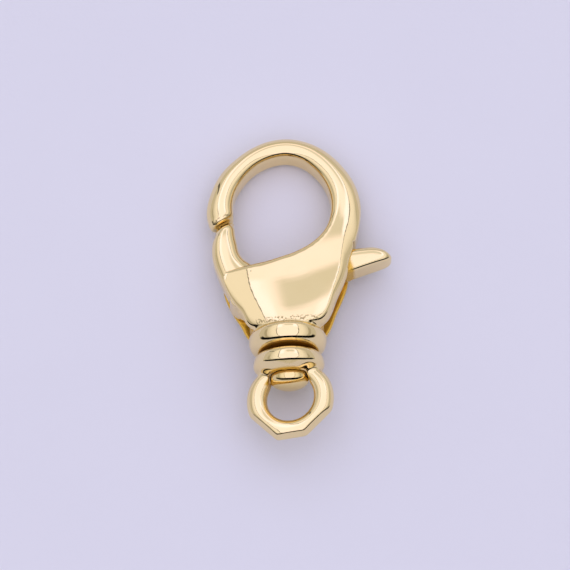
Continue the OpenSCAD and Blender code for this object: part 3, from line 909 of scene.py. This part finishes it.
class CLASP_OT_hook_body(Operator):
    """Build the hook with its housing and upper collar"""
    bl_idname = "clasp.hook_body"
    bl_label = "Hook and housing"

    def execute(self, context):
        shape = context.scene.clasp_shape
        hook = mesh_object("hook_and_housing", hook_shape(shape))
        collar = barrel(COLLAR_D, COLLAR_H, COLLAR_BULGE, COLLAR_PEAK, *COLLAR_CUTS)
        plug = rod(COLLAR_D - 2 * COLLAR_BULGE - PLUG_INSET, PLUG_FROM, COLLAR_H + SLOT_FLOOR)
        for name, profile in (("collar", collar), ("plug", plug)):
            combine(hook, mesh_object(name, lathe(profile, COLLAR_GAP / 2)), "UNION")
        for name, tool, place in (
                ("slot", upright(slot_shape(), SLOT_T / 2), None),
                ("pin_seats", disc(PIN_AT, PIN_D / 2, SLOT_T / 2 + PIN_SEAT), None),
                ("post_bore", lathe(rod(POST_D, -COLLAR_GAP, COLLAR_H), 0), turn(DROOP, "X"))):
            combine(hook, mesh_object(name, tool, place), "DIFFERENCE")
        cast(hook, shape.voxel, shape.soft, shape.even)
        # Painted shade in the slot and under the collar
        masked(hook, "hollow", hook_hollow)
        masked(hook, "marks", hook_marks)
        hook.data.materials.append(cast_gold())
        settle(hook, BODY_PLACE, "hook_body", "body")
        return {"FINISHED"}


class CLASP_OT_lever(Operator):
    """Build the lever with its gate and thumb tab"""
    bl_idname = "clasp.lever"
    bl_label = "Lever"

    def execute(self, context):
        shape = context.scene.clasp_shape
        gate = [gate_row(shape, r) for r in refined(GATE, 5)[::-1]]
        gate += [gate_end(shape, r) for r in refined(GATE_TIP[::-1], 5)]
        arm = [on_arm(a * FLANK_REACH, b * LEVER_ARM_W) for a, b in ARM]
        lever = mesh_object("lever_with_tab", loft(gate))
        for name, part in (("tab", loft([tab_section(r) for r in refined(TAB, 5)])),
                           ("arm", upright(arm, LEVER_T / 2 - SIDE_GAP)),
                           ("boss", disc(PIN_AT, BOSS_R, LEVER_T / 2 - SIDE_GAP))):
            combine(lever, mesh_object(name, part), "UNION")
        combine(lever, mesh_object("pin_hole", disc(PIN_AT, PIN_D / 2 + PIN_GAP, LEVER_T)), "DIFFERENCE")
        cast(lever, FINER * shape.voxel, shape.soft, shape.even)
        # Painted shade where the lever sits in the slot
        masked(lever, "hollow", lever_hollow)
        lever.data.materials.append(cast_gold())
        settle(lever, BODY_PLACE, "lever", "lever")
        return {"FINISHED"}


class CLASP_OT_swivel_ring(Operator):
    """Build the ring with the lower collar"""
    bl_idname = "clasp.swivel_ring"
    bl_label = "Swivel ring"

    def execute(self, context):
        shape = context.scene.clasp_shape
        ring = mesh_object("ring_and_collar", loft([ring_section(r) for r in refined(RING, 8)[::-1]]))
        collar = barrel(TURN_COLLAR_D, TURN_COLLAR_H, TURN_COLLAR_BULGE, TURN_COLLAR_PEAK, *TURN_COLLAR_CUTS)
        combine(ring, mesh_object("turn_collar", lathe(collar, EYE_TO_COLLAR)), "UNION")
        head = rod(HEAD_D + 2 * HEAD_ROOM, 0, EYE_TO_COLLAR + HEAD_SINK)
        post = rod(POST_D + 2 * POST_GAP, 0, EYE_TO_COLLAR + 2 * TURN_COLLAR_H)
        for name, tool in (("eye", disc(np.zeros(2), EYE_R, WIRE_D, 128)), ("head_hollow", lathe(head, 0)),
                           ("post_hole", lathe(post, 0))):
            combine(ring, mesh_object(name, tool), "DIFFERENCE")
        wide, tilt = 2 * EYE_D, round(math.degrees(shape.flat_tilt), 4)
        flat = upright([(0, -wide), (WIRE_D, -wide), (WIRE_D, wide), (0, wide)], wide)
        for angle, share in FLATS:
            for lean in (-tilt, tilt):
                there = turn(angle, "Z") @ Matrix.Translation((share * EYE_R, 0, 0)) @ turn(lean, "Y")
                combine(ring, mesh_object("flat", flat, there), "DIFFERENCE")
        cast(ring, FINER * shape.voxel, RING_SOFTER * shape.soft, shape.even)
        # Painted shade round the collar's gap and inside the eye
        masked(ring, "hollow", ring_hollow)
        ring.data.materials.append(cast_gold())
        settle(ring, SWIVEL_PLACE, "swivel_ring", "swivel")
        return {"FINISHED"}


class CLASP_OT_rivet(Operator):
    """Build the rivet that holds the ring, and dress the lever's pin"""
    bl_idname = "clasp.rivet"
    bl_label = "Rivet and pin"

    def execute(self, context):
        low = HEAD_BACK - HEAD_T - HEAD_DOME
        top = JOINT_Y + COLLAR_GAP / 2 + POST_REACH * COLLAR_H
        profile = [(HEAD_D / 2 * math.sin(a), low + HEAD_DOME * (1 - math.cos(a)))
                   for a in np.linspace(0, math.pi / 2, 24)]
        profile += [(HEAD_D / 2 - HEAD_EDGE * (1 - math.cos(a)), HEAD_BACK - HEAD_EDGE * (1 - math.sin(a)))
                    for a in np.radians(range(15, 91, 15))]
        profile += [(POST_D / 2, HEAD_BACK), (POST_D / 2, top), (0.0, top)]
        rivet = mesh_object("rivet", lathe(profile, 0, 128))
        # Painted shade on the rivet under the collar
        masked(rivet, "hollow", rivet_hollow)
        rivet.data.materials.append(rivet_gold())
        settle(rivet, RIVET_PLACE, "swivel_rivet", "body")
        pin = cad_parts["pivot_pin"]
        pin.data.materials.clear()
        pin.data.materials.append(rivet_gold())
        return {"FINISHED"}


class CLASP_OT_studio(Operator):
    """Set the table, the light and the camera"""
    bl_idname = "clasp.studio"
    bl_label = "Studio"

    def execute(self, context):
        scene = context.scene
        studio = scene.clasp_studio
        scene.view_settings.view_transform = "Standard"
        corners = [(x * TABLE_HALF, y * TABLE_HALF, 0) for x, y in ((-1, -1), (1, -1), (1, 1), (-1, 1))]
        table = mesh_object("table_top", (corners, [(0, 1, 2, 3)]))
        table.location.z = PACKED_BOX[0][2]
        paper = dressed("table_paper", paper_group(), {"Paper": (*studio.floor_color, 1)}, PAPER_DEPTH)
        paper.node_tree.nodes["Principled BSDF"].inputs["Specular IOR Level"].default_value = PAPER_SHINE
        table.data.materials.append(paper)
        scene.world = studio_light()

        tilt = math.radians(90) - studio.elevation
        spin = Matrix.Rotation(-studio.turned, 3, "Z")
        right, up, back = (spin @ Vector(axis) for axis in (
            (1, 0, 0), (0, math.cos(tilt), math.sin(tilt)), (0, -math.sin(tilt), math.cos(tilt))))
        camera = bpy.data.objects.new("camera", bpy.data.cameras.new("camera"))
        scene.collection.objects.link(camera)
        place = spin @ Vector(AIM) * MM + back * studio.distance
        camera.matrix_world = Matrix.Translation(place) @ Matrix((right, up, back)).transposed().to_4x4()
        camera.data.lens = SENSOR_W * FOCAL_PX / PHOTO_W * studio.distance / FITTED_AT
        camera.data.sensor_width = SENSOR_W
        camera.data.clip_start = CLIP_FROM
        scene.camera = camera
        return {"FINISHED"}


class CLASP_PT_panel(Panel):
    """Lists the clasp's sizes and builders"""
    bl_idname = "CLASP_PT_panel"
    bl_label = "Clasp"
    bl_space_type = "VIEW_3D"
    bl_region_type = "UI"
    bl_category = "Clasp"

    def draw(self, context):
        scene = context.scene
        for group in (scene.clasp_shape, scene.clasp_finish, scene.clasp_studio):
            for name in group.bl_rna.properties.keys():
                if name not in ("rna_type", "name"):
                    self.layout.prop(group, name)
        for builder in BUILDERS:
            self.layout.operator(builder.bl_idname)


BUILDERS = (CLASP_OT_studio, CLASP_OT_hook_body, CLASP_OT_lever, CLASP_OT_swivel_ring, CLASP_OT_rivet)
CLASSES = (ClaspShape, ClaspFinish, ClaspStudio, *BUILDERS, CLASP_PT_panel)


def register():
    for cls in CLASSES:
        bpy.utils.register_class(cls)
    bpy.types.Scene.clasp_shape = PointerProperty(type=ClaspShape)
    bpy.types.Scene.clasp_finish = PointerProperty(type=ClaspFinish)
    bpy.types.Scene.clasp_studio = PointerProperty(type=ClaspStudio)


def unregister():
    del bpy.types.Scene.clasp_studio
    del bpy.types.Scene.clasp_finish
    del bpy.types.Scene.clasp_shape
    for cls in reversed(CLASSES):
        bpy.utils.unregister_class(cls)


def main():
    register()
    bpy.ops.clasp.studio()
    bpy.ops.clasp.hook_body()
    bpy.ops.clasp.lever()
    bpy.ops.clasp.swivel_ring()
    bpy.ops.clasp.rivet()


if __name__ == "__main__":
    main()
